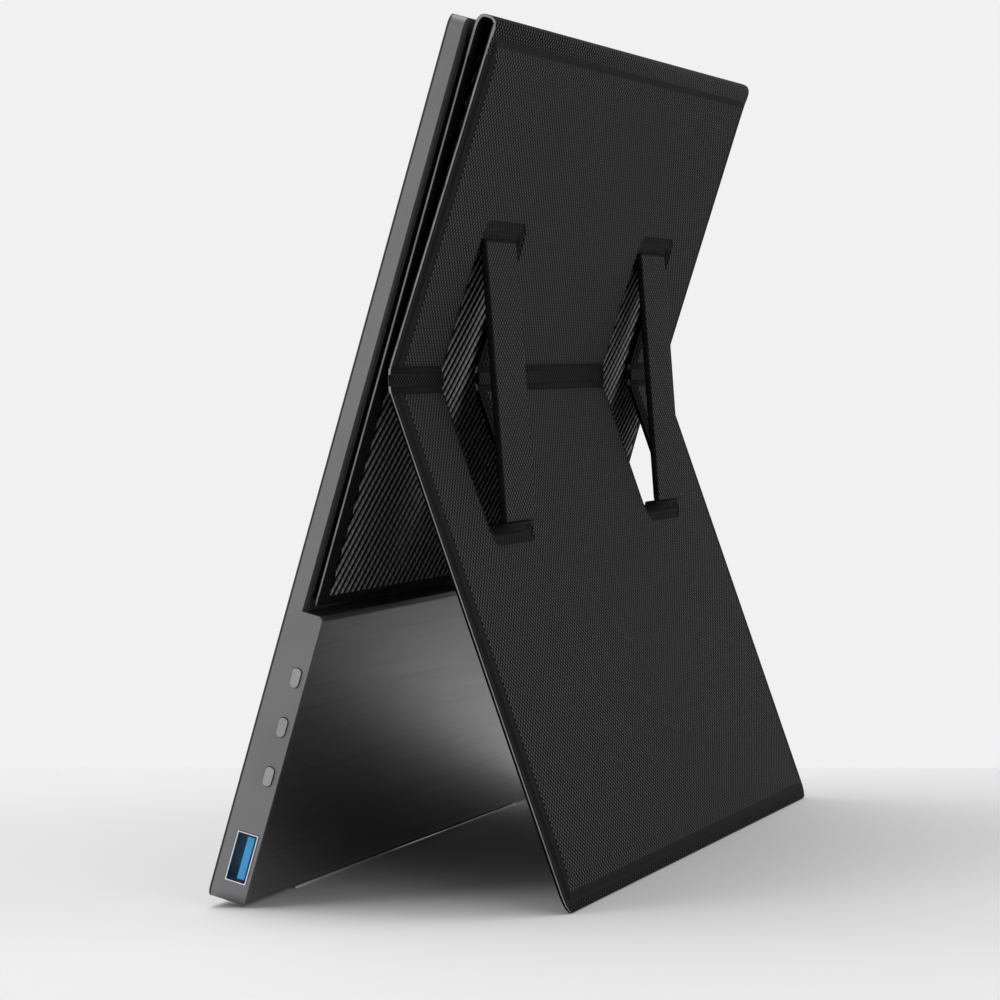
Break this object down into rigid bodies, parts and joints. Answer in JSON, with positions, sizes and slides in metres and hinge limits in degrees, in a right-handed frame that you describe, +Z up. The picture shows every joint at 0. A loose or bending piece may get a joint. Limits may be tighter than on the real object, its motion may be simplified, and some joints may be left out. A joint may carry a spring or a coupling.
{
  "type": "portable monitor with cover",
  "caption": "Slim portable display on a folio cover that folds back over its top into a kinked leg, held by fold-out struts, with side buttons and sockets.",
  "frame": {"origin": "on the table, under the middle of the object's box", "axes": "+X to the user's right along the width, +Y from the screen to the back, +Z up; the screen faces -Y"},
  "size_m": [0.3576, 0.0928, 0.2254],
  "materials": {
    "body_metal": "fine bead-blasted dark grey anodised metal",
    "black_glass": "glossy black glass over the picture panel",
    "brushed_back": "dark anodised metal, brushed along its width",
    "panel_glass": "liquid crystal cell",
    "guide_plastic": "clear acrylic sheet",
    "mirror_film": "white reflecting film",
    "circuit_board": "green fibreglass board with chips",
    "steel": "plated steel screws",
    "magnet": "nickel-plated magnets",
    "flex": "flexible printed cable",
    "switch_plastic": "small push switches",
    "button_metal": "satin dark grey metal",
    "port_metal": "bright nickel-plated steel",
    "blue_plastic": "moulded blue plastic",
    "contact_metal": "gold-plated contacts",
    "black_plastic": "moulded black plastic",
    "foot_rubber": "matte black rubber",
    "tape": "thin adhesive sheet",
    "board": "grey-brown stiffening board",
    "ribbed_skin": "black coated cloth with fine diagonal ribs",
    "spine_skin": "soft black coated cloth",
    "woven_lining": "fine dark woven cloth",
    "flap_fabric": "soft black cloth"
  },
  "bodies": {
    "display": {"side_frame": "body_metal", "front_glass": "black_glass", "lcd_cell": "panel_glass", "light_guide": "guide_plastic", "reflector": "mirror_film", "light_bar": "circuit_board", "chin_cover": "brushed_back", "main_board": "circuit_board", "board_screws": "steel", "driver_board": "circuit_board", "display_cable": "flex", "button_board": "circuit_board", "button_switches": "switch_plastic", "usb_a_shell": "port_metal", "usb_a_tongue": "blue_plastic", "usb_a_contacts": "contact_metal", "port_board": "circuit_board", "usb_c_ports": "port_metal", "mini_hdmi_port": "port_metal", "headphone_jack": "black_plastic", "right_speaker": "black_plastic", "left_speaker": "black_plastic", "foot_strip": "foot_rubber", "back_tape": "tape", "back_board": "board", "back_magnets": "magnet", "back_skin": "ribbed_skin"},
    "spine": {"spine_band": "spine_skin"},
    "upper_panel": {"upper_skin": "ribbed_skin", "upper_board": "board", "upper_lining": "woven_lining"},
    "crease": {"crease_band": "spine_skin"},
    "lower_panel": {"lower_skin": "ribbed_skin", "lower_board": "board", "lower_lining": "woven_lining", "lower_magnets": "magnet"},
    "right_strut": {"right_strut_skin": "ribbed_skin", "right_strut_core": "board", "right_strut_sleeve": "woven_lining"},
    "left_strut": {"left_strut_skin": "ribbed_skin", "left_strut_core": "board", "left_strut_sleeve": "woven_lining"},
    "right_flap": {"right_flap": "flap_fabric"},
    "left_flap": {"left_flap": "flap_fabric"},
    "power_button": {"power_button": "button_metal"},
    "up_button": {"up_button": "button_metal"},
    "down_button": {"down_button": "button_metal"}
  },
  "joints": [
    {"name": "cover_turn", "type": "hinge", "parent": "display", "child": "spine", "pos_m": [0, 0.02194, 0.2249], "axis": [1, 0, 0], "range_deg": [0, 180]},
    {"name": "panel_turn", "type": "hinge", "parent": "spine", "child": "upper_panel", "pos_m": [0, 0.028, 0.22318], "axis": [1, 0, 0], "range_deg": [0, 181.5]},
    {"name": "crease_upper_fold", "type": "hinge", "parent": "upper_panel", "child": "crease", "pos_m": [0, 0.00008, 0.13583], "axis": [-1, 0, 0], "range_deg": [0, 18.3]},
    {"name": "crease_lower_fold", "type": "hinge", "parent": "crease", "child": "lower_panel", "pos_m": [0, 0.00015, 0.13103], "axis": [-1, 0, 0], "range_deg": [0, 18.42]},
    {"name": "right_strut_fold", "type": "hinge", "parent": "upper_panel", "child": "right_strut", "pos_m": [0.101, 0.01111, 0.16926], "axis": [-1, 0, 0], "range_deg": [0, 21.67]},
    {"name": "left_strut_fold", "type": "hinge", "parent": "upper_panel", "child": "left_strut", "pos_m": [-0.101, 0.01111, 0.16926], "axis": [-1, 0, 0], "range_deg": [0, 21.67]},
    {"name": "right_flap_fold", "type": "hinge", "parent": "lower_panel", "child": "right_flap", "pos_m": [0.101, 0.01315, 0.09553], "axis": [1, 0, 0], "range_deg": [0, 115.29]},
    {"name": "left_flap_fold", "type": "hinge", "parent": "lower_panel", "child": "left_flap", "pos_m": [-0.101, 0.01315, 0.09553], "axis": [1, 0, 0], "range_deg": [0, 115.29]},
    {"name": "power_button_press", "type": "slide", "parent": "display", "child": "power_button", "axis": [-1, 0, 0], "range_m": [0, 0.0004], "stiffness_N_per_m": 300},
    {"name": "up_button_press", "type": "slide", "parent": "display", "child": "up_button", "axis": [-1, 0, 0], "range_m": [0, 0.0004], "stiffness_N_per_m": 300},
    {"name": "down_button_press", "type": "slide", "parent": "display", "child": "down_button", "axis": [-1, 0, 0], "range_m": [0, 0.0004], "stiffness_N_per_m": 300}
  ],
  "couplings": [
    {"joint": "panel_turn", "follows": "cover_turn", "ratio": 1.0083},
    {"joint": "crease_upper_fold", "follows": "cover_turn", "ratio": 0.10167},
    {"joint": "crease_lower_fold", "follows": "cover_turn", "ratio": 0.10232},
    {"joint": "right_strut_fold", "follows": "cover_turn", "ratio": 0.12038},
    {"joint": "left_strut_fold", "follows": "cover_turn", "ratio": 0.12038},
    {"joint": "right_flap_fold", "follows": "cover_turn", "ratio": 0.64049},
    {"joint": "left_flap_fold", "follows": "cover_turn", "ratio": 0.64049}
  ]
}
